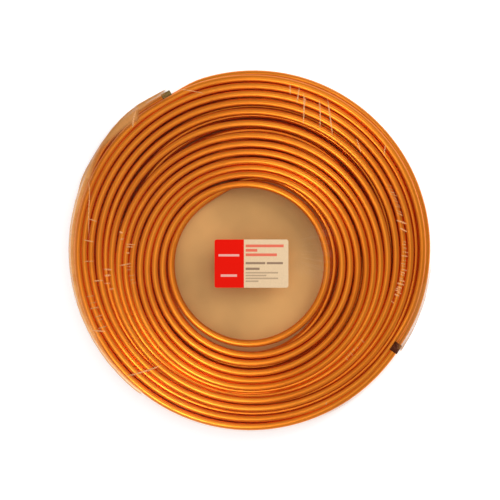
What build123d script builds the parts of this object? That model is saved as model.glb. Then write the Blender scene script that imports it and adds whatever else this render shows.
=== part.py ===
from build123d import *
import math
import os

# A pancake coil of soft copper tube in clear shrink film, lying flat with its labelled face up.
# The origin is at the centre of the underside. All sizes are in millimetres.

# Tube and winding
tube_diameter = 10.0
tube_wall = 1.0
bore_diameter = 200.0
turns_per_layer = 14
layers = 2

# Plastic cap pushed over each end of the tube
cap_length = 13.3
cap_wall = 0.9
cap_fit = 0.1
cap_end_thickness = 1.6
cap_edge_bevel = 0.6
upper_end_angle = -33.9
lower_end_angle = 118.4
free_room_past_cap = 8.0
tube_lead = 12.0
tube_bore_depth = 22.0

# Shrink film round everything
film_wall = 0.25
film_gap = 0.3
seat_gap = 0.1
vent_diameter = 5.0
vent_distance = 200.0

# Card under the coil
card_margin = 5.0
card_thickness = 1.0

# Label on the film
label_width = 98.0
label_height = 64.0
label_corner_radius = 3.0
label_thickness = 0.15
label_centre_x = 1.6
label_centre_y = -18.5

# Worked out from the sizes above
tube_radius = tube_diameter / 2
bore_radius = bore_diameter / 2
coil_radius = bore_radius + turns_per_layer * tube_diameter
crown_bevel = tube_radius * (1 - math.tan(math.radians(22.5)))
card_radius = coil_radius - card_margin
card_base = film_wall + seat_gap
coil_base = card_base + card_thickness + seat_gap
coil_top = coil_base + layers * tube_diameter
film_top = coil_top + seat_gap + film_wall
cap_radius = tube_radius + cap_fit + cap_wall
cap_path_radius = coil_radius - cap_radius - film_gap
cap_grip = cap_length - cap_end_thickness


def ridge_line(count):
    """Distance along one side of the pack and depth below its crowns, for that many turns side by side."""
    points = []
    for turn in range(count):
        edge = turn * tube_diameter
        if turn > 0:
            points.append((edge, crown_bevel))
        points += [(edge + crown_bevel, 0), (edge + tube_diameter - crown_bevel, 0)]
    return points


def winding_section():
    """Half section of the wound pack: a ridge for each turn on top and for each layer on both rims."""
    across = ridge_line(turns_per_layer)
    down = ridge_line(layers)
    face = [(coil_radius - along, coil_top - depth) for along, depth in across]
    bore = [(bore_radius + depth, coil_top - along) for along, depth in down]
    rim = [(coil_radius - depth, coil_base + along) for along, depth in down]
    underside = [(bore_radius + crown_bevel, coil_base), (coil_radius - crown_bevel, coil_base)]
    return Plane.XZ * make_face(Polyline(*face, *bore, *underside, *rim, close=True))


def end_plane(angle, height, turning):
    """Plane at the open edge of a cap: z runs along the tube to its end, x outwards, y to the coil's middle."""
    outward = Vector(1, 0, 0).rotate(Axis.Z, angle)
    along = Vector(0, turning, 0).rotate(Axis.Z, angle)
    middle = outward * cap_path_radius + Vector(0, 0, height)
    return Plane(origin=middle - along * (cap_length / 2), x_dir=outward, z_dir=along)


def end_pocket():
    """Room that the outermost turn leaves where the tube ends, open to the rim and to the face."""
    inner = cap_radius + film_gap
    outer = 2 * cap_radius
    corner = Circle(inner)
    face_side = Pos(-inner, -outer) * Rectangle(inner + outer, outer, align=(Align.MIN, Align.MIN))
    rim_side = Pos(0, -outer) * Rectangle(outer, inner + outer, align=(Align.MIN, Align.MIN))
    length = film_gap + cap_length + free_room_past_cap
    return Pos(0, 0, -film_gap) * extrude(corner + face_side + rim_side, length)


def tube_end():
    """The tube's last straight stretch, hollow at its end, which the cap grips."""
    length = tube_lead + cap_grip - seat_gap
    stretch = Cylinder(tube_radius, length, align=(Align.CENTER, Align.CENTER, Align.MIN))
    hollow = Cylinder(
        tube_radius - tube_wall, tube_bore_depth, align=(Align.CENTER, Align.CENTER, Align.MAX)
    )
    return Pos(0, 0, -tube_lead) * (stretch - Pos(0, 0, length) * hollow)


def tube_coil():
    """The wound pack as one turned solid, with a pocket and a straight tube end for each end."""
    pack = revolve(winding_section(), Axis.Z)
    for plane in (upper_plane, lower_plane):
        pack -= plane * end_pocket()
    for plane in (upper_plane, lower_plane):
        pack += plane * tube_end()
    return pack


def end_cap():
    """Moulded cap: a cup that grips the tube, its closed end bevelled."""
    outside = Cylinder(cap_radius, cap_length, align=(Align.CENTER, Align.CENTER, Align.MIN))
    outside = chamfer(outside.edges().sort_by(Axis.Z)[-1], cap_edge_bevel)
    socket = Cylinder(cap_radius - cap_wall, cap_grip, align=(Align.CENTER, Align.CENTER, Align.MIN))
    return outside - socket


def wrap_drum(radius, low, high):
    """Solid drum, bevelled like the outermost turns."""
    section = Polyline(
        (0, low),
        (radius - crown_bevel, low),
        (radius, low + crown_bevel),
        (radius, high - crown_bevel),
        (radius - crown_bevel, high),
        (0, high),
        close=True,
    )
    return revolve(Plane.XZ * make_face(section), Axis.Z)


def shrink_film():
    """Thin skin round the coil, flat over both ends of the bore, with one vent hole underneath."""
    inner_radius = coil_radius + film_gap
    outside = wrap_drum(inner_radius + film_wall, 0, film_top)
    inside = wrap_drum(inner_radius, film_wall, film_top - film_wall)
    vent = Pos(vent_distance, 0, 0) * Cylinder(vent_diameter / 2, 4 * film_wall)
    return outside - inside - vent


def backing_card():
    """Round card that the coil lies on, which closes the bore from below."""
    card = Cylinder(card_radius, card_thickness, align=(Align.CENTER, Align.CENTER, Align.MIN))
    return Pos(0, 0, card_base) * card


def label():
    """Label with rounded corners, stuck on the film over the bore."""
    sheet = RectangleRounded(label_width, label_height, label_corner_radius)
    return Pos(label_centre_x, label_centre_y, film_top) * extrude(sheet, label_thickness)


upper_plane = end_plane(upper_end_angle, coil_top - cap_radius - film_gap, 1)
lower_plane = end_plane(lower_end_angle, coil_base + cap_radius + film_gap, -1)

os.makedirs("parts", exist_ok=True)
export_step(tube_coil(), "parts/tube_coil.step")
export_step(upper_plane * end_cap(), "parts/upper_end_cap.step")
export_step(lower_plane * end_cap(), "parts/lower_end_cap.step")
export_step(shrink_film(), "parts/shrink_film.step")
export_step(backing_card(), "parts/backing_card.step")
export_step(label(), "parts/label.step")
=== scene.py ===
import math
import random

import bmesh
import bpy
import numpy as np
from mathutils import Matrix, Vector, noise


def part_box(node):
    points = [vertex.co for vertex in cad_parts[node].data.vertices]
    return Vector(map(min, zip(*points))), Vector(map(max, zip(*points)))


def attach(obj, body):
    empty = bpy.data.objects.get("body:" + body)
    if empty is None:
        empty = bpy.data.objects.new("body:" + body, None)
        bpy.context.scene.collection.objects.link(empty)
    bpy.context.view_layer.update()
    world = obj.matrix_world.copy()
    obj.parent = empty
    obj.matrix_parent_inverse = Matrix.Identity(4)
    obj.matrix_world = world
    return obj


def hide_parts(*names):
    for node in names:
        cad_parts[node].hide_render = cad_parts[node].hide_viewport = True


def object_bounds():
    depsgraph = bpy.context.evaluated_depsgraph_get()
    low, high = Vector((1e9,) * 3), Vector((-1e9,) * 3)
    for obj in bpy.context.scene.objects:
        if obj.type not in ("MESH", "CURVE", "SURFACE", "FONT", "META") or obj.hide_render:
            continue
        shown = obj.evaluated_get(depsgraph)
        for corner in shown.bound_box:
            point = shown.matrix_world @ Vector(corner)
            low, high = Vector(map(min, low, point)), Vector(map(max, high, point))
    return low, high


bl_info = {
    "name": "Copper Tube Coil",
    "version": (1, 0, 0),
    "blender": (4, 5, 0),
    "location": "3D View > Sidebar > Coil",
    "description": "Winds and wraps a pancake coil of soft copper tube round its packed frame",
    "category": "Object",
}

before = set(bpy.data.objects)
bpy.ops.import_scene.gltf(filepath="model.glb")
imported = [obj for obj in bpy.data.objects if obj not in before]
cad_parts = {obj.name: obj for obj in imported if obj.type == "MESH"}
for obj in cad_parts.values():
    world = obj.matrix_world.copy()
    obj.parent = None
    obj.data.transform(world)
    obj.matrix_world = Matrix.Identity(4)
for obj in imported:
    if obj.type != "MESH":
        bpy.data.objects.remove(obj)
cad_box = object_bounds()

MM = 0.001

# Corners closer than this are merged, in metres.
MERGE = 1e-6

# Directions are degrees clockwise from the right, as the coil is seen from above.
# Each list holds the centre-line radius, in millimetres, of the upper layer's turns from the rim inwards.
UPPER_RADII = {
    "bottom": (
        235.6, 225.3, 218.8, 211.4, 207.0, 201.1, 195.8,
        188.7, 183.2, 173.9, 164.1, 151.0, 140.8, 125.2,
    ),
    "left": (
        229.3, 220.9, 211.6, 201.3, 192.7, 184.0, 173.8,
        164.7, 155.0, 144.4, 134.5, 125.0, 114.1, 103.6,
    ),
    "top": (
        228.1, 218.0, 207.8, 196.6, 184.3, 168.4, 152.1,
        141.0, 130.0, 118.7, 109.2, 100.0, 87.2,
    ),
    "right": (
        229.1, 221.6, 213.5, 204.2, 194.1, 182.6, 172.4,
        162.7, 152.8, 141.4, 131.1, 121.0, 101.0,
    ),
}
QUARTERS = {"bottom": 90, "left": 180, "top": 270, "right": 360}

# Turns that the others push down out of the upper layer: turn, direction and depth in millimetres.
PUSHED_DOWN = {
    (2, "right"): 7.0,
    (3, "bottom"): 7.5,
    (4, "right"): 1.5,
    (5, "bottom"): 8.8,
    (5, "left"): 3.0,
    (7, "bottom"): 8.6,
    (8, "bottom"): 8.6,
    (8, "left"): 1.2,
    (11, "top"): 2.5,
}

# The way down from the upper layer to the lower one, past the innermost turn: direction, radius and depth.
WAY_DOWN = ((200, 96.7, 3.5), (220, 90.6, 6.4), (240, 87.8, 9.2))

# Turns that bend aside for a cap: turned angle, reach either side in degrees, shift inwards and depth.
MAKE_ROOM = ((241, 12, 1.6, 0.0), (393, 16, 1.2, 4.5), (9753, 16, 1.0, 0.0), (9601, 14, 4.0, 0.0))

# Innermost and outermost centre-line radius of the lower layer.
LOWER_RADII = {
    "top": (94.9, 235.2),
    "right": (111.5, 236.2),
    "bottom": (142.0, 234.6),
    "left": (111.5, 235.6),
}
LOWER_TURNS = 14

# More places on the first turn of the lower layer, where it shows beside the innermost turn: direction
# and radius.
LOWER_START = ((315, 101.5), (390, 121.0), (405, 127.5))

# The same on its last turn, which swells under the loose rim before it runs straight into its cap.
LOWER_END = ((205, 236.3), (223, 238.8), (235, 235.0))

# How far the tube reaches past the middle of its cap, in millimetres.
TUBE_PAST_CAP_MIDDLE = 5.0

# The stretch in which the upper end settles into its layer, in degrees, and how far it swings out there.
END_STRETCH = 22
END_SWING = 0.9

# How the turns wander: degrees from each end until they wander fully, and how fast, sideways and down.
WANDER_STRETCH = 40
WANDER_SIDEWAYS = 0.021
WANDER_DOWN = 0.017

# Brightness of the studio's ceiling in gloss and how high it starts, and of the whole studio as a light.
CEILING = 0.56
CEILING_STARTS = 0.40
DIFFUSE_LEVEL = 0.62

# Studio lamps: name, direction, distance, height and side in metres, power, and what doesn't see the lamp.
LAMPS = (
    ("lamp_lower_left", 117, 0.60, 1.00, 0.36, 4.6, "visible_diffuse"),
    ("lamp_upper_right", 298, 0.75, 1.35, 0.50, 2.0, None),
    ("lamp_low_right", 318, 0.95, 0.50, 0.50, 6.4, "visible_glossy"),
    ("lamp_above", 200, 0.40, 2.50, 0.80, 2.0, None),
)

# How far the camera stands off the coil's axis and above the coil, in metres, and its lens in millimetres.
CAMERA_ASIDE = (-0.35 * MM, -0.45 * MM)
CAMERA_ABOVE = 1.566
CAMERA_LENS = 85

# Half the floor's side in metres, its grey, and its own light where it is seen.
FLOOR_HALF = 6
FLOOR_GREY = 0.8
FLOOR_LIGHT = 0.5

# How far a cap's lip stands out, how long it is and how its edges are broken.
CAP_LIP = 0.2 * MM
CAP_LIP_LENGTH = 2.0 * MM
CAP_CHAMFER = 0.25 * MM
CAP_LEAD_IN = 0.3 * MM

# Radius of a cap's rounded end, radius and depth of the dimple in it, and the sides of the cap's mesh.
CAP_EDGE = 1.0 * MM
CAP_DIMPLE_RADIUS = 2.2 * MM
CAP_DIMPLE = 0.35 * MM
CAP_STEPS = 40

# Direction where the film's pattern starts over, which has no fold on it.
FILM_SEAM = 100

# Single folds of the film, whose glint is painted in their pale colour: direction and radius at both ends,
# bend of the middle in degrees, and half width in millimetres.
FOLDS = (
    (127.5, 193.0, 134.6, 236.0, 0.0, 0.75),
    (150.5, 220.0, 153.0, 236.0, 0.0, 0.80),
    (183.7, 214.0, 203.0, 231.5, 3.0, 0.45),
    (226.0, 224.0, 230.5, 236.0, 0.0, 0.80),
    (246.0, 233.0, 253.7, 215.5, 0.0, 0.40),
    (292.9, 180.0, 288.7, 221.0, 0.0, 0.60),
    (300.0, 184.5, 294.4, 221.0, 0.0, 0.55),
    (306.0, 186.0, 297.0, 226.0, -0.6, 0.60),
    (287.6, 203.5, 286.8, 226.0, 0.0, 0.60),
    (284.5, 212.0, 283.5, 226.0, 0.0, 0.50),
    (290.8, 201.0, 290.0, 215.0, 0.0, 0.45),
    (318.7, 195.0, 313.7, 204.0, 0.0, 0.45),
    (325.0, 216.0, 321.9, 228.0, 0.0, 0.40),
    (348.6, 197.5, 350.7, 210.5, 0.0, 0.70),
    (351.7, 200.0, 353.6, 209.5, 0.0, 0.65),
    (380.0, 198.5, 380.4, 204.0, 0.0, 0.40),
    (423.5, 226.0, 424.0, 229.5, 0.0, 0.50),
    (169.6, 188.0, 169.9, 196.5, 0.0, 0.95),
    (171.8, 185.5, 172.4, 196.5, 0.0, 0.75),
    (173.4, 158.5, 173.0, 175.5, 0.0, 0.55),
    (164.0, 188.0, 164.4, 195.5, 0.0, 0.50),
    (168.2, 199.0, 168.7, 213.0, 0.0, 0.60),
    (166.5, 190.0, 167.0, 199.0, 0.0, 0.40),
    (181.4, 155.0, 181.2, 165.5, 0.0, 0.55),
    (178.4, 160.0, 178.6, 165.0, 0.0, 0.60),
    (187.4, 170.5, 187.8, 175.5, 0.0, 0.85),
    (185.0, 168.0, 184.4, 173.5, 0.0, 0.60),
    (182.4, 151.5, 182.6, 166.0, 0.0, 0.40),
    (182.8, 207.0, 183.4, 222.0, 0.0, 0.50),
    (190.4, 206.5, 190.8, 219.0, 0.0, 0.45),
    (175.8, 208.0, 176.0, 222.0, 0.0, 0.40),
)

# How much wider every fold is made than its half width says, how steep it is, and its height off the film.
FOLD_WIDTH = 1.5
FOLD_STEEPNESS = 0.45
FOLD_LIFT = 0.02 * MM

# How much a fold in a row varies in place, in millimetres, and in slant, width and spacing, as factors.
NEARER_END = 1.5
FURTHER_END = 2.0
SLANTS = (0.6, 1.3)
WIDTHS = (0.5, 1.3)
SPACINGS = (0.6, 1.5)

# Rows of short folds across the gap between two turns: first and last direction, mean inner and outer radius,
# slant in degrees, mean spacing in degrees and half width in millimetres.
FOLD_ROWS = (
    (334.5, 346.0, 200.5, 208.0, 1.3, 1.40, 0.32),
    (357.0, 371.0, 201.5, 208.5, 0.3, 1.25, 0.40),
    (371.5, 377.5, 200.5, 208.5, 0.2, 1.05, 0.60),
    (164.0, 172.5, 158.0, 166.0, 0.3, 1.90, 0.30),
    (152.0, 166.0, 214.0, 226.0, 0.5, 2.10, 0.35),
    (399.0, 410.0, 190.0, 194.5, 0.2, 1.30, 0.25),
)

# Pale stretches of the film along the rim, partly milky film and partly painted sheen: first and last
# direction, inner radius at both, strength, which may pass 1 where the clouds in the film should hardly thin
# it.
MILKY_AND_SHEEN_RIMS = (
    (128, 152, 246, 231, 0.55),
    (152, 163, 231, 232, 0.55),
    (163, 204, 232, 230, 0.70),
    (128, 163, 236, 235, 1.20),
    (163, 204, 236, 236, 1.10),
    (204, 214, 230, 236, 0.95),
    (214, 229, 236, 226, 1.10),
    (229, 232, 226, 236, 1.10),
    (232, 241, 233, 235, 1.40),
    (360, 374, 246, 228, 0.45),
    (374, 392, 228, 231, 0.45),
    (358, 393, 244, 235, 1.10),
    (406, 420, 246, 235, 0.35),
    (420, 438, 235, 246, 0.35),
)

# How far down the film's side the pale stretches reach, in millimetres.
PALE_DEPTH = 6

# The pale film's colour on the left, where it is lit, and a painted shade of it further up, where it lies in
# shade.
PALE_LIT_PAINTED = (0.98, 0.50, 0.17)
PALE_SHADE_PAINTED = (0.62, 0.27, 0.08)

# Part of the rim where the film stands off the coil: first and last direction, and how far, in millimetres.
LOOSE_RIM = (206, 231, 3.2)

# Its ripples: direction of a crest, how many fit in a turn, and mean and swing of the share that stands off.
RIPPLES = (226, 12, 0.75, 0.25)

# Unevenness of the whole rim in millimetres, and its pace.
RIM_UNEVENNESS = 0.35
RIM_PACE = 0.35

# Tension ridges over the bore: least depth and what the strongest add, in millimetres, and their pace.
RIDGE_DEPTH = 0.10
RIDGE_SWING = 0.22
RIDGE_PACE = (0.42, 0.012)

# How far the film sags between the turns, in millimetres, and the pace of that.
SAG = 0.22
SAG_PACE = (0.12, 0.05)

# Rings of the film in which these act: inner and outer radius, and how softly they fade, in millimetres.
RIM_RING = (236, 400, 8)
LOOSE_RING = (232, 400, 12)
RIDGE_RING = (66, 100, 30)
SAG_RING = (112, 232, 8)

# Radius past which the film's side may move, and how near to a face a place counts as lying on it.
SIDE_STARTS = 220
ON_FACE = 0.5 * MM

# Where the film rounds over, as shares of its bevel: how far in from the rim and down from the top.
BEVEL_CORNERS = ((0.42, 0.16), (0.12, 0.5))

# Room between the film and the widest turn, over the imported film's own, in millimetres.
FILM_EASE = 1.0

# Fine tension lines of the film over the bore, which also carry a painted glint: first and last direction,
# first and last radius.
TENSION_LINES = (348, 380, 76, 98)

# The label's change from red to cream, the softness of a bar's edge, and its plain bars: first and last place
# from the left edge, first and last place from the top edge, all in millimetres, then ink and strength.
LABEL_FOLD = 39.0
LABEL_EDGE = 0.5
INKS = {"white": (0.90, 0.72, 0.60), "dark": (0.12, 0.05, 0.04)}
LABEL_BARS = (
    (5.5, 32.5, 19.8, 22.2, "white", 0.60),
    (8.5, 29.5, 46.6, 49.2, "white", 0.60),
    (41.5, 91.5, 6.9, 10.1, "red", 0.72),
    (41.5, 56.5, 12.8, 16.0, "red", 0.72),
    (41.5, 82.5, 18.7, 21.9, "red", 0.72),
    (41.5, 67.0, 30.2, 32.6, "dark", 0.70),
    (69.5, 90.5, 30.2, 32.6, "dark", 0.70),
    (41.5, 59.5, 37.6, 40.2, "dark", 0.70),
    (41.5, 84.0, 43.3, 44.9, "dark", 0.42),
    (41.5, 68.5, 47.0, 48.6, "dark", 0.42),
    (41.5, 84.0, 50.8, 52.4, "dark", 0.42),
    (41.5, 58.0, 54.6, 56.2, "dark", 0.42),
)


class CoilSizes(bpy.types.PropertyGroup):
    """Sizes of the tube and how finely it is drawn."""

    tube_diameter: bpy.props.FloatProperty(
        name="Tube diameter", description="Outside diameter of the tube", default=10 * MM, unit="LENGTH"
    )
    step: bpy.props.FloatProperty(
        name="Step", description="Turn between two rings of the tube's mesh", default=math.radians(2.4),
        subtype="ANGLE",
    )
    half_bevel: bpy.props.IntProperty(
        name="Roundness", description="Bevel resolution of the tube: 4 sides and 2 more for each", default=5
    )
    unevenness: bpy.props.FloatProperty(
        name="Unevenness", description="How far a turn strays from its track", default=0.35 * MM,
        unit="LENGTH",
    )


class CapSizes(bpy.types.PropertyGroup):
    """Sizes of the plastic cap on each end of the tube."""

    length: bpy.props.FloatProperty(
        name="Length", description="Length of the cap along the tube", default=13.3 * MM, unit="LENGTH"
    )
    radius: bpy.props.FloatProperty(
        name="Radius", description="Radius of the cap at its lip", default=6 * MM, unit="LENGTH"
    )
    wall: bpy.props.FloatProperty(name="Wall", description="Wall of the cap", default=0.9 * MM, unit="LENGTH")
    end: bpy.props.FloatProperty(
        name="End", description="Thickness of the cap's closed end", default=1.6 * MM, unit="LENGTH"
    )


class FilmSizes(bpy.types.PropertyGroup):
    """Sizes of the shrink film."""

    rings: bpy.props.IntProperty(
        name="Rings", description="Rings of the mesh on the film's upper face", default=72
    )
    spokes: bpy.props.IntProperty(
        name="Spokes", description="Steps of the film's mesh round the coil", default=540
    )
    bevel: bpy.props.FloatProperty(
        name="Bevel", description="Where the film rounds over the outermost turns", default=2.93 * MM,
        unit="LENGTH",
    )


class Colours(bpy.types.PropertyGroup):
    """Main colour of each finish."""

    copper: bpy.props.FloatVectorProperty(
        name="Copper", description="Bright drawn copper", default=(0.82, 0.243, 0.022), subtype="COLOR"
    )
    brown: bpy.props.FloatVectorProperty(
        name="Brown cap", description="Plastic of the upper cap", default=(0.062, 0.012, 0.003),
        subtype="COLOR",
    )
    olive: bpy.props.FloatVectorProperty(
        name="Olive cap", description="Plastic of the lower cap", default=(0.135, 0.085, 0.024),
        subtype="COLOR",
    )
    card: bpy.props.FloatVectorProperty(
        name="Card", description="Plain tan card", default=(0.68, 0.37, 0.135), subtype="COLOR"
    )
    red: bpy.props.FloatVectorProperty(
        name="Red panel", description="Printed panel of the label", default=(0.86, 0.006, 0.0),
        subtype="COLOR",
    )
    cream: bpy.props.FloatVectorProperty(
        name="Cream panel", description="Paper of the label", default=(0.87, 0.63, 0.385), subtype="COLOR"
    )


class Nodes:
    """A new material, whose nodes are added and joined by short calls."""

    def __init__(self, name):
        self.material = bpy.data.materials.new(name)
        self.material.use_nodes = True
        self.tree = self.material.node_tree
        self.tree.nodes.clear()
        self.output = self.add("ShaderNodeOutputMaterial")

    def add(self, kind, inputs=None, **settings):
        node = self.tree.nodes.new(kind)
        for name, value in settings.items():
            setattr(node, name, value)
        for name, value in (inputs or {}).items():
            if isinstance(value, bpy.types.NodeSocket):
                self.tree.links.new(value, node.inputs[name])
            else:
                node.inputs[name].default_value = value
        return node

    def math(self, operation, first, second=0.0, third=0.0):
        return self.add("ShaderNodeMath", {0: first, 1: second, 2: third}, operation=operation).outputs[0]

    def mix(self, factor, first, second):
        node = self.add("ShaderNodeMix", data_type="RGBA")
        for slot, value in ((0, factor), (6, first), (7, second)):
            if isinstance(value, bpy.types.NodeSocket):
                self.tree.links.new(value, node.inputs[slot])
            else:
                node.inputs[slot].default_value = value
        return node.outputs[2]

    def ramp(self, value, low, high, to_low=0.0, to_high=1.0):
        node = self.add(
            "ShaderNodeMapRange",
            {"Value": value, "From Min": low, "From Max": high, "To Min": to_low, "To Max": to_high},
            interpolation_type="SMOOTHSTEP",
        )
        return node.outputs[0]

    def noise(self, vector, scale, detail=2.0, roughness=0.5):
        node = self.add(
            "ShaderNodeTexNoise", {"Vector": vector, "Scale": scale, "Detail": detail, "Roughness": roughness}
        )
        return node.outputs[0]

    def stretch(self, vector, scale):
        return self.add("ShaderNodeMapping", {"Vector": vector, "Scale": scale}).outputs[0]

    def bump(self, height, distance):
        inputs = {"Height": height, "Distance": distance, "Strength": 1.0}
        return self.add("ShaderNodeBump", inputs).outputs[0]

    def place(self):
        return self.add("ShaderNodeTexCoord").outputs["Object"]

    def round_place(self):
        """Direction in degrees clockwise from the right, on from FILM_SEAM, and radius in millimetres."""
        turned = self.add(
            "ShaderNodeVectorRotate",
            {"Vector": self.place(), "Angle": math.radians(FILM_SEAM + 180)},
            rotation_type="Z_AXIS",
        )
        part = self.add("ShaderNodeSeparateXYZ", {0: turned.outputs[0]})
        angle = self.math("ARCTAN2", self.math("MULTIPLY", part.outputs["Y"], -1.0), part.outputs["X"])
        direction = self.math("ADD", self.math("DEGREES", angle), FILM_SEAM + 180)
        squares = [self.math("POWER", part.outputs[axis], 2.0) for axis in ("X", "Y")]
        return direction, self.math("DIVIDE", self.math("SQRT", self.math("ADD", *squares)), MM)

    def between(self, value, low, high, soft):
        """One between two values, and fading to nothing past them."""
        rise = self.ramp(value, low - soft, low)
        return self.math("MULTIPLY", rise, self.ramp(value, high, high + soft, 1.0, 0.0))

    def finish(self, shader):
        self.tree.links.new(shader.outputs[0], self.output.inputs[0])
        return self.material


def opaque(colour):
    return (*colour, 1.0)


def copper_finish(colours):
    """Bright drawn copper: marks along the tube, slow changes of tone, a little dulling."""
    nodes = Nodes("bright_copper")
    straight = nodes.add("ShaderNodeAttribute", attribute_name="straight_tube").outputs["Vector"]
    drawn = nodes.noise(nodes.stretch(straight, (900, 900, 14)), 1.0, 3.0)
    fine = nodes.noise(nodes.stretch(straight, (2600, 2600, 60)), 1.0, 2.0)
    tone = nodes.noise(nodes.stretch(straight, (30, 30, 5)), 1.0, 3.0)
    dull = nodes.noise(nodes.place(), 22.0, 4.0)
    deep = [part * factor for part, factor in zip(colours.copper, (0.88, 0.77, 0.66))]
    colour = nodes.mix(nodes.ramp(tone, 0.35, 0.7), opaque(colours.copper), opaque(deep))
    marks = nodes.math("ADD", nodes.math("MULTIPLY", drawn, 0.6), nodes.math("MULTIPLY", fine, 0.4))
    roughness = nodes.ramp(dull, 0.3, 0.75, 0.28, 0.39)
    roughness = nodes.math("ADD", roughness, nodes.math("MULTIPLY", drawn, 0.06))
    shader = nodes.add(
        "ShaderNodeBsdfPrincipled",
        {
            "Base Color": colour,
            "Metallic": 1.0,
            "Roughness": roughness,
            "Normal": nodes.bump(marks, 0.000012),
        },
    )
    return nodes.finish(shader)


def cap_finish(name, colour):
    """Moulded plastic with a faint grain."""
    nodes = Nodes(name)
    grain = nodes.noise(nodes.place(), 2400.0, 2.0)
    tone = nodes.noise(nodes.place(), 260.0, 2.0)
    light = [min(1.0, part * 1.7 + 0.01) for part in colour]
    shader = nodes.add(
        "ShaderNodeBsdfPrincipled",
        {
            "Base Color": nodes.mix(nodes.ramp(tone, 0.35, 0.75), opaque(colour), opaque(light)),
            "Roughness": nodes.ramp(tone, 0.2, 0.8, 0.38, 0.55),
            "Specular IOR Level": 0.06,
            "Normal": nodes.bump(grain, 0.00005),
        },
    )
    return nodes.finish(shader)


def card_finish(colour):
    """Tan card with fibres, flecks and a soft change of tone."""
    nodes = Nodes("tan_card")
    place = nodes.place()
    cloud = nodes.noise(place, 7.0, 3.0)
    fibres = nodes.noise(nodes.stretch(place, (1.0, 4.0, 1.0)), 380.0, 4.0, 0.7)
    flecks = nodes.noise(place, 900.0, 2.0)
    pale = [min(1.0, part * 1.12) for part in colour]
    dark = [part * 0.86 for part in colour]
    base = nodes.mix(nodes.ramp(cloud, 0.35, 0.65), opaque(dark), opaque(pale))
    base = nodes.mix(nodes.ramp(fibres, 0.55, 0.8, 0.0, 0.25), base, opaque(dark))
    base = nodes.mix(nodes.ramp(flecks, 0.66, 0.74, 0.0, 0.4), base, opaque([part * 0.6 for part in colour]))
    shader = nodes.add(
        "ShaderNodeBsdfPrincipled",
        {
            "Base Color": base,
            "Roughness": 0.85,
            "Specular IOR Level": 0.15,
            "Normal": nodes.bump(fibres, 0.00012),
        },
    )
    return nodes.finish(shader)


def strongest(nodes, masks):
    """The highest of several masks at each place."""
    highest = masks[0]
    for mask in masks[1:]:
        highest = nodes.math("MAXIMUM", highest, mask)
    return highest


def past_seam(direction):
    """The same direction, counted on from the film's seam."""
    return direction if direction > FILM_SEAM else direction + 360


def tension_painted_glint(nodes, streaks, direction, radius):
    """Share of gloss on the fine tension lines over the bore: a mask that paints their glint."""
    start, end, inner, outer = TENSION_LINES
    lines = nodes.noise(nodes.stretch(streaks, (1.6, 0.12, 1.0)), 1.0, 2.0)
    across = nodes.between(radius, inner, outer, 20.0)
    tense = nodes.math("MULTIPLY", nodes.between(direction, start, end, 12.0), across)
    return nodes.math("MULTIPLY", nodes.ramp(lines, 0.42, 0.68, 0.0, 0.10), tense)


def milky_and_painted_sheen_share(nodes, direction, radius, height, cover):
    """How milky the film is along the rim, where it is drawn together or stands off the coil, with a painted
    sheen in the same share.
    """
    parts = []
    for start, end, inner, inner_at_end, strength in MILKY_AND_SHEEN_RIMS:
        part = nodes.math("MULTIPLY", nodes.between(direction, start, end, 1.5), strength)
        slant = (inner_at_end - inner) / (end - start)
        edge = nodes.math("MULTIPLY_ADD", direction, slant, inner - slant * start)
        past_edge = nodes.math("SUBTRACT", radius, edge)
        parts.append(nodes.math("MULTIPLY", part, nodes.ramp(past_edge, -2.5, 8.0)))
    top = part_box("shrink_film")[1].z / MM
    upper_part = nodes.ramp(height, top - PALE_DEPTH, top - 1, 0.2, 1.0)
    return nodes.math("MULTIPLY", nodes.math("MULTIPLY", strongest(nodes, parts), cover), upper_part)


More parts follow.
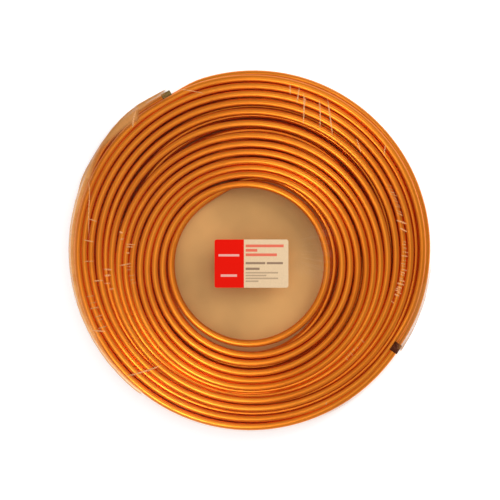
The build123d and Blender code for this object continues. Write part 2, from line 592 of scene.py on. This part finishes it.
def film_finish():
    """Clear glossy film, with faint tension lines over the bore that carry a painted glint, and a pale rim
    that is partly milky film and partly painted sheen.
    """
    nodes = Nodes("clear_film")
    direction, radius = nodes.round_place()
    height = nodes.math("DIVIDE", nodes.add("ShaderNodeSeparateXYZ", {0: nodes.place()}).outputs["Z"], MM)
    streaks = nodes.add(
        "ShaderNodeCombineXYZ",
        {0: direction, 1: nodes.math("MULTIPLY", radius, 0.07), 2: nodes.math("MULTIPLY", height, 0.3)},
    ).outputs[0]
    clouds = nodes.noise(nodes.stretch(streaks, (0.16, 0.9, 1.0)), 1.0, 3.0)
    fine = nodes.noise(nodes.stretch(streaks, (1.1, 0.5, 1.0)), 1.0, 2.0)
    wrinkles = nodes.math("ADD", nodes.math("MULTIPLY", fine, 0.4), nodes.math("MULTIPLY", clouds, 1.5))
    normal = nodes.bump(wrinkles, 0.00025)
    # Painted reflection tint: the film's mirror is tinted warm, standing in for the warm light it reflects.
    gloss = nodes.add(
        "ShaderNodeBsdfPrincipled",
        {"Base Color": (1.0, 0.80, 0.56, 1.0), "Metallic": 1.0, "Roughness": 0.2, "Normal": normal},
    )
    clear = nodes.add("ShaderNodeBsdfTransparent", {"Color": (0.995, 0.985, 0.97, 1.0)})
    weight = nodes.add("ShaderNodeLayerWeight", {"Blend": 0.10, "Normal": normal})
    factor = nodes.math("MULTIPLY", weight.outputs["Facing"], 0.12)
    glint = tension_painted_glint(nodes, streaks, direction, radius)
    factor = nodes.math("ADD", factor, nodes.math("ADD", glint, 0.004))
    glossy = nodes.add("ShaderNodeMixShader", {0: factor, 1: clear.outputs[0], 2: gloss.outputs[0]})

    cover = nodes.ramp(clouds, 0.3, 0.6, 0.62, 0.90)
    cover = nodes.math("ADD", cover, nodes.ramp(fine, 0.45, 0.7, 0.0, 0.10))
    pale = milky_and_painted_sheen_share(nodes, direction, radius, height, cover)
    # Painted light and shade: the pale colour is lit on the left and darker further up.
    pale_lit_and_painted_shade = nodes.mix(nodes.ramp(direction, 192, 212), opaque(PALE_LIT_PAINTED), opaque(PALE_SHADE_PAINTED))
    # Partly the film's own milkiness and partly a painted sheen, laid over the coil along the rim.
    milky = nodes.add(
        "ShaderNodeBsdfPrincipled",
        {
            "Base Color": pale_lit_and_painted_shade,
            "Metallic": 0.5,
            "Roughness": 0.4,
            "Specular IOR Level": 0.06,
            "Normal": normal,
        },
    )
    mixed = nodes.add("ShaderNodeMixShader", {0: pale, 1: glossy.outputs[0], 2: milky.outputs[0]})
    return nodes.finish(mixed)


def fold_painted_glint_finish():
    """Film where it is folded on itself, partly clear, with a pale peach colour that paints its glint."""
    nodes = Nodes("folded_film_painted_glint")
    specks = nodes.noise(nodes.place(), 500.0, 2.0)
    # Painted glint: the pale peach colour stands in for the light a fold reflects.
    pale = nodes.add(
        "ShaderNodeBsdfPrincipled",
        {
            "Base Color": (1.0, 0.50, 0.20, 1.0),
            "Roughness": nodes.ramp(specks, 0.3, 0.7, 0.25, 0.5),
            "Specular IOR Level": 0.1,
        },
    )
    clear = nodes.add("ShaderNodeBsdfTransparent", {"Color": (1.0, 0.97, 0.93, 1.0)})
    share = nodes.ramp(specks, 0.3, 0.6, 0.35, 0.75)
    mixed = nodes.add("ShaderNodeMixShader", {0: share, 1: clear.outputs[0], 2: pale.outputs[0]})
    return nodes.finish(mixed)


def label_finish(colours):
    """Printed label: a red panel on the left, a cream one on the right, and plain bars on both."""
    nodes = Nodes("label_paper")
    low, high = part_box("label")
    place = nodes.add("ShaderNodeSeparateXYZ", {0: nodes.place()})
    across = nodes.math("DIVIDE", nodes.math("SUBTRACT", place.outputs["X"], low.x), MM)
    down = nodes.math("DIVIDE", nodes.math("SUBTRACT", high.y, place.outputs["Y"]), MM)
    fibres = nodes.noise(nodes.place(), 700.0, 3.0)
    shade = [part * 0.93 for part in colours.cream]
    base = nodes.mix(nodes.ramp(fibres, 0.3, 0.7), opaque(colours.cream), opaque(shade))
    on_red = nodes.math("LESS_THAN", across, LABEL_FOLD)
    base = nodes.mix(on_red, base, opaque(colours.red))
    for start, end, top, bottom, ink, strength in LABEL_BARS:
        wide = nodes.between(across, start, end, LABEL_EDGE)
        tall = nodes.between(down, top, bottom, LABEL_EDGE)
        bar = nodes.math("MULTIPLY", nodes.math("MULTIPLY", wide, tall), strength)
        base = nodes.mix(bar, base, opaque(INKS[ink] if ink in INKS else colours.red))
    shader = nodes.add(
        "ShaderNodeBsdfPrincipled",
        {
            "Base Color": base,
            "Roughness": 0.45,
            "Specular IOR Level": 0.05,
            "Normal": nodes.bump(fibres, 0.00003),
        },
    )
    return nodes.finish(shader)


def eased(values, knots, heights):
    """Heights at the values, with a level start and end to each stretch between knots."""
    index = np.clip(np.searchsorted(knots, values, side="right") - 1, 0, len(knots) - 2)
    share = np.clip((values - knots[index]) / (knots[index + 1] - knots[index]), 0, 1)
    share = share * share * (3 - 2 * share)
    return heights[index] + share * (heights[index + 1] - heights[index])


def smooth_line(values, knots, heights):
    """Natural cubic spline through the knots."""
    gaps = np.diff(knots)
    slopes = np.diff(heights) / gaps
    count = len(knots)
    system = np.eye(count)
    right_side = np.zeros(count)
    for i in range(1, count - 1):
        system[i, i - 1 : i + 2] = (gaps[i - 1], 2 * (gaps[i - 1] + gaps[i]), gaps[i])
        right_side[i] = 6 * (slopes[i] - slopes[i - 1])
    bends = np.linalg.solve(system, right_side)
    index = np.clip(np.searchsorted(knots, values, side="right") - 1, 0, count - 2)
    gap = gaps[index]
    before = (values - knots[index]) / gap
    after = 1 - before
    curved = (after**3 - after) * bends[index] + (before**3 - before) * bends[index + 1]
    return after * heights[index] + before * heights[index + 1] + curved * gap**2 / 6


def cap_place(node):
    """Direction in degrees, radius and height in millimetres of a cap's middle."""
    low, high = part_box(node)
    middle = (low + high) / (2 * MM)
    return math.degrees(math.atan2(-middle.y, middle.x)) % 360, math.hypot(middle.x, middle.y), middle.z


def winding_knots(upper_level, lower_level):
    """Turned angle, radius and depth of the tube's middle, from its upper end to its lower one."""
    fall = upper_level - lower_level
    start, start_radius, start_height = cap_place("upper_end_cap")
    end, end_radius, end_height = cap_place("lower_end_cap")
    knots = [
        (start, start_radius, upper_level - start_height),
        (start + END_STRETCH, start_radius + END_SWING, 0),
    ]
    turns = len(UPPER_RADII["bottom"])
    for turn in range(turns):
        for name, direction in QUARTERS.items():
            if turn < len(UPPER_RADII[name]):
                depth = PUSHED_DOWN.get((turn + 1, name), 0)
                knots.append((direction + 360 * turn, UPPER_RADII[name][turn], depth))
    for direction, radius, depth in WAY_DOWN:
        knots.append((direction + 360 * (turns - 1), radius, depth))
    lower_start = QUARTERS["top"] + 360 * (turns - 1)
    for turn in range(LOWER_TURNS):
        for number, name in enumerate(("top", "right", "bottom", "left")):
            inner, outer = LOWER_RADII[name]
            radius = inner + (outer - inner) * turn / (LOWER_TURNS - 1)
            knots.append((lower_start + 360 * turn + 90 * number, radius, fall))
    last_left = knots[-1][0]
    for direction, radius in LOWER_START:
        knots.append((direction + 360 * (turns - 1), radius, fall))
    for direction, radius in LOWER_END:
        knots.append((last_left - QUARTERS["left"] + direction, radius, fall))
    last = last_left - QUARTERS["left"] + end
    knots.append((last, end_radius, upper_level - end_height))
    return np.array(sorted(knots))


def wander(angle, pace, row):
    """Slow change between -1 and 1 round the coil; each row of the noise gives another one."""
    return noise.noise(Vector((angle * pace, row, 0)))


def winding_route(sizes):
    """Points of the tube's centre line, in metres."""
    low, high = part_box("tube_coil")
    radius = sizes.tube_diameter / 2
    upper_level = (high.z - radius) / MM
    lower_level = (low.z + radius) / MM
    knots = winding_knots(upper_level, lower_level)
    reach = math.degrees(TUBE_PAST_CAP_MIDDLE / knots[0, 1])
    first, last = knots[0, 0] - reach, knots[-1, 0] + reach
    count = int((last - first) / math.degrees(sizes.step)) + 1
    turned = np.linspace(first, last, count)
    radii = smooth_line(turned, knots[:, 0], knots[:, 1])
    depths = eased(turned, knots[:, 0], knots[:, 2])
    for middle, spread, shift, depth in MAKE_ROOM:
        share = 0.5 + 0.5 * np.cos(np.pi * np.clip((turned - middle) / spread, -1, 1))
        radii -= shift * share
        depths += depth * share
    free = np.clip(np.minimum(turned - first, last - turned) / WANDER_STRETCH, 0, 1)
    stray = sizes.unevenness / MM
    points = []
    for angle, along, depth, share in zip(turned, radii, depths, free):
        sideways = wander(angle, WANDER_SIDEWAYS, 3.7) * stray
        down = (0.5 + 0.5 * wander(angle, WANDER_DOWN, 8.1)) * stray
        along += sideways * share
        height = max(upper_level - depth - down * share, lower_level)
        theta = -math.radians(angle)
        points.append((along * math.cos(theta) * MM, along * math.sin(theta) * MM, height * MM))
    return points


def tube_mesh(name, points, radius, half_bevel):
    """Round tube along the points, closed at both ends."""
    curve = bpy.data.curves.new(name, "CURVE")
    curve.dimensions = "3D"
    curve.twist_mode = "Z_UP"
    curve.bevel_depth = radius
    curve.bevel_resolution = half_bevel
    curve.use_fill_caps = True
    spline = curve.splines.new("POLY")
    spline.points.add(len(points) - 1)
    spline.points.foreach_set("co", [part for point in points for part in (*point, 1.0)])
    holder = bpy.data.objects.new(name, curve)
    bpy.context.scene.collection.objects.link(holder)
    bpy.context.view_layer.update()
    mesh = bpy.data.meshes.new_from_object(holder)
    bpy.data.objects.remove(holder)
    bpy.data.curves.remove(curve)
    return mesh


def keep_straight_place(mesh, points, radius):
    """Stores where each corner lay while the tube was still straight: across it, and along it."""
    sides = len(mesh.vertices) // len(points)
    line = np.array(points)
    along = np.concatenate(([0], np.cumsum(np.linalg.norm(np.diff(line, axis=0), axis=1))))
    ring, side = np.divmod(np.arange(len(mesh.vertices)), sides)
    turn = 2 * math.pi * side / sides
    place_along = along[np.minimum(ring, len(along) - 1)]
    straight = np.stack((np.cos(turn) * radius, np.sin(turn) * radius, place_along), 1)
    attribute = mesh.attributes.new("straight_tube", "FLOAT_VECTOR", "POINT")
    attribute.data.foreach_set("vector", straight.astype(np.float32).ravel())


def window(value, low, high, soft):
    """One between two values, and fading to nothing past them."""
    rise = min(max((value - low) / soft + 1, 0), 1)
    fall = min(max((high - value) / soft + 1, 0), 1)
    share = rise * fall
    return share * share * (3 - 2 * share)


def film_noise(direction, radius, pace, layer):
    """Slow change between -1 and 1 over the film; each layer of the noise gives another one."""
    return noise.noise(Vector((direction * pace[0], radius * pace[1], layer)))


def shrunk(place, bottom, top):
    """Where a place of the plain drum lies on the shrunk film, with its wrinkles and its loose rim."""
    radius = math.hypot(place.x, place.y) / MM
    if radius < 1:
        return place
    direction = past_seam(math.degrees(math.atan2(-place.y, place.x)) % 360)
    height = place.z
    outward = 0.0
    if height > bottom + ON_FACE and radius > SIDE_STARTS:
        start, end, reach = LOOSE_RIM
        crest, ripples, mean, swing = RIPPLES
        loose = window(direction, start, end, 9) * window(radius, *LOOSE_RING)
        ripple = mean + swing * math.cos(math.radians((direction - crest) * ripples))
        outward += reach * ripple * loose
        outward += RIM_UNEVENNESS * wander(direction, RIM_PACE, 2.2) * window(radius, *RIM_RING)
    if height > top - ON_FACE:
        start, end = TENSION_LINES[:2]
        ridges = film_noise(direction, radius, RIDGE_PACE, 5.0)
        tense = 1 + window(direction, start, end, 10)
        pull = (RIDGE_DEPTH + RIDGE_SWING * abs(ridges) * tense) * window(radius, *RIDGE_RING)
        sag = film_noise(direction, radius, SAG_PACE, 9.0)
        height -= (pull + SAG * abs(sag) * window(radius, *SAG_RING)) * MM
    factor = (radius + outward) / radius
    return Vector((place.x * factor, place.y * factor, height))


def add_fold(form, line, half_width, bottom, top):
    """Adds a low ridge that tapers to both ends, along a line on the film's upper face."""
    start, inner, end, outer, bend = line

    def crest(share):
        direction = math.radians(start + (end - start) * share + 4 * bend * share * (1 - share))
        radius = (inner + (outer - inner) * share) * MM
        return Vector((radius * math.cos(direction), -radius * math.sin(direction), top))

    ridge = bmesh.ops.create_grid(form, x_segments=8, y_segments=2, size=1)
    for corner in ridge["verts"]:
        share = (corner.co.x + 1) / 2
        side = corner.co.y
        width = FOLD_WIDTH * half_width * MM * math.sqrt(max(0, 4 * share * (1 - share)))
        along = (crest(share + 0.01) - crest(share - 0.01)).normalized()
        across = Vector((-along.y, along.x, 0))
        place = shrunk(crest(share) + across * side * width, bottom, top)
        place.z += FOLD_LIFT + FOLD_STEEPNESS * width * (1 - abs(side))
        corner.co = place


def turned_mesh(name, places, centre, axis, steps, reshape=None):
    """Shell turned round an axis from the places of its half section, then reshaped corner by corner."""
    form = bmesh.new()
    corners = [form.verts.new(place) for place in places]
    edges = [form.edges.new(pair) for pair in zip(corners, corners[1:])]
    bmesh.ops.spin(
        form, geom=corners + edges, cent=centre, axis=axis, angle=2 * math.pi, steps=steps, use_merge=True
    )
    bmesh.ops.remove_doubles(form, verts=form.verts, dist=MERGE)
    bmesh.ops.recalc_face_normals(form, faces=form.faces)
    if reshape is not None:
        for corner in form.verts:
            corner.co = reshape(corner.co)
    mesh = bpy.data.meshes.new(name)
    form.to_mesh(mesh)
    form.free()
    mesh.shade_smooth()
    return mesh


def add_piece(name, mesh, material, slot, *nodes):
    """Links a piece that stands for these nodes, and lets it ride on the coil's one body."""
    piece = bpy.data.objects.new(name, mesh)
    bpy.context.scene.collection.objects.link(piece)
    mesh.materials.clear()
    mesh.materials.append(material)
    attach(piece, "root")
    if nodes:
        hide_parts(*nodes)


def finish_node(name, material):
    """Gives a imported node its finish."""
    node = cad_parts[name]
    node.data.materials.clear()
    node.data.materials.append(material)


class COIL_OT_wind_tube(bpy.types.Operator):
    """Wind the tube in two layers, from one capped end to the other"""

    bl_idname = "coil.wind_tube"
    bl_label = "Wind Tube"

    def execute(self, context):
        sizes = context.scene.coil_sizes
        points = winding_route(sizes)
        radius = sizes.tube_diameter / 2
        mesh = tube_mesh("wound_tube", points, radius, sizes.half_bevel)
        keep_straight_place(mesh, points, radius)
        mesh.shade_smooth()
        add_piece("wound_tube", mesh, copper_finish(context.scene.coil_colours), "copper", "tube_coil")
        return {"FINISHED"}


def cap_section(sizes):
    """Half section of a moulded cap, from the middle of its socket's floor to the middle of its end."""
    socket = sizes.radius - sizes.wall
    body = sizes.radius - CAP_LIP
    length = sizes.length
    rounding = [
        (length - CAP_EDGE * (1 - math.sin(angle)), body - CAP_EDGE * (1 - math.cos(angle)))
        for angle in (math.radians(15 * step) for step in range(7))
    ]
    floor = length - sizes.end
    mouth = [(floor, 0), (floor, socket), (CAP_LEAD_IN, socket), (0, socket + CAP_LIP)]
    lip = [(0, sizes.radius - CAP_CHAMFER), (CAP_CHAMFER, sizes.radius)]
    lip += [(CAP_LIP_LENGTH - CAP_LEAD_IN, sizes.radius), (CAP_LIP_LENGTH, body)]
    pressed_in = length - CAP_DIMPLE
    dimple = [(length, CAP_DIMPLE_RADIUS), (pressed_in, CAP_DIMPLE_RADIUS - 0.4 * MM), (pressed_in, 0)]
    return mouth + lip + rounding + dimple


def cap_mesh(name, node, sizes, closed_end):
    """Turned cap at its node's place, whose closed end points along the winding or against it."""
    direction, radius, height = cap_place(node)
    angle = math.radians(direction)
    along = Vector((-math.sin(angle), -math.cos(angle), 0)) * closed_end
    outward = Vector((math.cos(angle), -math.sin(angle), 0))
    mouth = outward * radius * MM + Vector((0, 0, height * MM)) - along * (sizes.length / 2)
    places = [mouth + along * place + outward * off for place, off in cap_section(sizes)]
    return turned_mesh(name, places, mouth, along, CAP_STEPS)


class COIL_OT_mould_caps(bpy.types.Operator):
    """Mould the cap on each end of the tube"""

    bl_idname = "coil.mould_caps"
    bl_label = "Mould Caps"

    def execute(self, context):
        sizes = context.scene.cap_sizes
        colours = context.scene.coil_colours
        brown = cap_finish("brown_plastic", colours.brown)
        upper = cap_mesh("brown_cap", "upper_end_cap", sizes, -1)
        add_piece("brown_cap", upper, brown, "brown_cap", "upper_end_cap")
        olive = cap_finish("olive_plastic", colours.olive)
        lower = cap_mesh("olive_cap", "lower_end_cap", sizes, 1)
        add_piece("olive_cap", lower, olive, "olive_cap", "lower_end_cap")
        return {"FINISHED"}


class COIL_OT_finish_card(bpy.types.Operator):
    """Give the card under the coil its fibres"""

    bl_idname = "coil.finish_card"
    bl_label = "Finish Card"

    def execute(self, context):
        finish_node("backing_card", card_finish(context.scene.coil_colours.card))
        return {"FINISHED"}


class COIL_OT_wrap_film(bpy.types.Operator):
    """Wrap the coil in clear shrink film"""

    bl_idname = "coil.wrap_film"
    bl_label = "Wrap Film"

    def execute(self, context):
        sizes = context.scene.film_sizes
        low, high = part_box("shrink_film")
        radius = high.x + FILM_EASE * MM
        bevel = sizes.bevel
        middle = (high.z + low.z) / 2
        section = [((radius - bevel) * ring / sizes.rings, high.z) for ring in range(sizes.rings + 1)]
        section += [(radius - bevel * inwards, high.z - bevel * down) for inwards, down in BEVEL_CORNERS]
        section += [(radius, high.z - bevel), (radius, middle), (radius, low.z + bevel)]
        section += [(radius - bevel, low.z), (radius * 0.75, low.z), (radius * 0.5, low.z), (0, low.z)]
        places = [(along, 0, height) for along, height in section]
        mesh = turned_mesh(
            "shrink_film_skin", places, (0, 0, 0), (0, 0, 1), sizes.spokes,
            lambda place: shrunk(place, low.z, high.z),
        )
        add_piece("shrink_film_skin", mesh, film_finish(), "clear_film", "shrink_film")
        return {"FINISHED"}


class COIL_OT_fold_film(bpy.types.Operator):
    """Add the small folds on the film's upper face, whose glint is painted in their colour"""

    bl_idname = "coil.fold_film"
    bl_label = "Fold Film"

    def execute(self, context):
        low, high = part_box("shrink_film")
        draw = random.Random(7)
        form = bmesh.new()
        for start, inner, end, outer, bend, half_width in FOLDS:
            add_fold(form, (start, inner, end, outer, bend), half_width, low.z, high.z)
        for first, last, inner, outer, slant, spacing, half_width in FOLD_ROWS:
            direction = first
            while direction < last:
                nearer = inner + draw.uniform(-NEARER_END, NEARER_END)
                further = outer + draw.uniform(-FURTHER_END, FURTHER_END)
                line = (direction, nearer, direction + slant * draw.uniform(*SLANTS), further, 0.0)
                add_fold(form, line, half_width * draw.uniform(*WIDTHS), low.z, high.z)
                direction += spacing * draw.uniform(*SPACINGS)
        mesh = bpy.data.meshes.new("film_folds")
        form.to_mesh(mesh)
        form.free()
        mesh.shade_smooth()
        add_piece("film_folds", mesh, fold_painted_glint_finish(), "clear_film")
        return {"FINISHED"}


class COIL_OT_finish_label(bpy.types.Operator):
    """Give the label its two panels"""

    bl_idname = "coil.finish_label"
    bl_label = "Finish Label"

    def execute(self, context):
        finish_node("label", label_finish(context.scene.coil_colours))
        return {"FINISHED"}


def add_lamp(name, direction, distance, height, size, power, unseen_by):
    """Square soft lamp that points at the coil's middle."""
    lamp = bpy.data.lights.new(name, "AREA")
    lamp.shape = "SQUARE"
    lamp.size = size
    lamp.energy = power
    holder = bpy.data.objects.new(name, lamp)
    bpy.context.scene.collection.objects.link(holder)
    angle = -math.radians(direction)
    holder.location = (distance * math.cos(angle), distance * math.sin(angle), height)
    holder.rotation_euler = (-holder.location).to_track_quat("-Z", "Y").to_euler()
    if unseen_by:
        setattr(holder, unseen_by, False)


def studio_world():
    """White studio: as the camera and gloss see it, white walls under a greyer ceiling; softer as a light."""
    world = bpy.data.worlds.new("plain_studio")
    world.use_nodes = True
    tree = world.node_tree
    tree.nodes.clear()

    def add(kind, **inputs):
        node = tree.nodes.new(kind)
        for name, value in inputs.items():
            socket = node.inputs[name.replace("_", " ")]
            if isinstance(value, bpy.types.NodeSocket):
                tree.links.new(value, socket)
            else:
                socket.default_value = value
        return node

    path = add("ShaderNodeLightPath")
    upwards = add("ShaderNodeSeparateXYZ", Vector=add("ShaderNodeTexCoord").outputs["Generated"]).outputs["Z"]
    sky = add(
        "ShaderNodeMapRange", Value=upwards, From_Min=0.0, From_Max=CEILING_STARTS, To_Min=1.0, To_Max=CEILING
    )
    glossy = add("ShaderNodeMix", Factor=path.outputs["Is Glossy Ray"], A=DIFFUSE_LEVEL, B=sky.outputs[0])
    seen = add("ShaderNodeMix", Factor=path.outputs["Is Camera Ray"], A=glossy.outputs[0], B=1.0)
    passed = add("ShaderNodeMix", Factor=path.outputs["Is Transmission Ray"], A=seen.outputs[0], B=1.0)
    background = add("ShaderNodeBackground", Color=(1, 1, 1, 1), Strength=passed.outputs[0])
    output = tree.nodes.new("ShaderNodeOutputWorld")
    tree.links.new(background.outputs[0], output.inputs[0])
    return world


class COIL_OT_set_stage(bpy.types.Operator):
    """Set the camera, the pale floor, the lamps and the plain background"""

    bl_idname = "coil.set_stage"
    bl_label = "Set Stage"

    def execute(self, context):
        scene = context.scene
        camera_data = bpy.data.cameras.new("camera_above")
        camera_data.lens = CAMERA_LENS
        camera_data.sensor_width = 36
        camera_data.clip_end = 20
        camera = bpy.data.objects.new("camera_above", camera_data)
        scene.collection.objects.link(camera)
        camera.location = (*CAMERA_ASIDE, cad_box[1].z + CAMERA_ABOVE)
        scene.camera = camera

        form = bmesh.new()
        bmesh.ops.create_grid(form, x_segments=1, y_segments=1, size=FLOOR_HALF)
        mesh = bpy.data.meshes.new("pale_floor")
        form.to_mesh(mesh)
        form.free()
        floor = bpy.data.objects.new("pale_floor", mesh)
        scene.collection.objects.link(floor)
        nodes = Nodes("pale_floor")
        rays = nodes.add("ShaderNodeLightPath")
        seen = nodes.math("MAXIMUM", rays.outputs["Is Camera Ray"], rays.outputs["Is Glossy Ray"])
        seen = nodes.math("MAXIMUM", seen, rays.outputs["Is Transmission Ray"])
        plain = nodes.add("ShaderNodeBsdfDiffuse", {"Color": opaque([FLOOR_GREY] * 3)})
        glow = nodes.add("ShaderNodeEmission", {"Strength": nodes.math("MULTIPLY", seen, FLOOR_LIGHT)})
        both = nodes.add("ShaderNodeAddShader", {0: plain.outputs[0], 1: glow.outputs[0]})
        mesh.materials.append(nodes.finish(both))

        scene.world = studio_world()
        for lamp in LAMPS:
            add_lamp(*lamp)
        scene.view_settings.view_transform = "Standard"
        return {"FINISHED"}


class COIL_PT_panel(bpy.types.Panel):
    """Sidebar panel with the coil's pieces in the order they are made"""

    bl_idname = "COIL_PT_panel"
    bl_label = "Copper Tube Coil"
    bl_space_type = "VIEW_3D"
    bl_region_type = "UI"
    bl_category = "Coil"

    def draw(self, context):
        for settings in GROUPS:
            group = getattr(context.scene, settings)
            for name in group.bl_rna.properties.keys():
                if name not in ("rna_type", "name"):
                    self.layout.prop(group, name)
        for operator in OPERATORS:
            self.layout.operator(operator.bl_idname)


GROUPS = {"coil_sizes": CoilSizes, "cap_sizes": CapSizes, "film_sizes": FilmSizes, "coil_colours": Colours}
OPERATORS = (
    COIL_OT_set_stage,
    COIL_OT_wind_tube,
    COIL_OT_mould_caps,
    COIL_OT_finish_card,
    COIL_OT_wrap_film,
    COIL_OT_fold_film,
    COIL_OT_finish_label,
)


def register():
    for name, group in GROUPS.items():
        bpy.utils.register_class(group)
        setattr(bpy.types.Scene, name, bpy.props.PointerProperty(type=group))
    for operator in OPERATORS:
        bpy.utils.register_class(operator)
    bpy.utils.register_class(COIL_PT_panel)


def unregister():
    bpy.utils.unregister_class(COIL_PT_panel)
    for operator in reversed(OPERATORS):
        bpy.utils.unregister_class(operator)
    for name, group in GROUPS.items():
        delattr(bpy.types.Scene, name)
        bpy.utils.unregister_class(group)


def main():
    register()
    bpy.ops.coil.set_stage()
    bpy.ops.coil.wind_tube()
    bpy.ops.coil.mould_caps()
    bpy.ops.coil.finish_card()
    bpy.ops.coil.wrap_film()
    bpy.ops.coil.fold_film()
    bpy.ops.coil.finish_label()


if __name__ == "__main__":
    main()
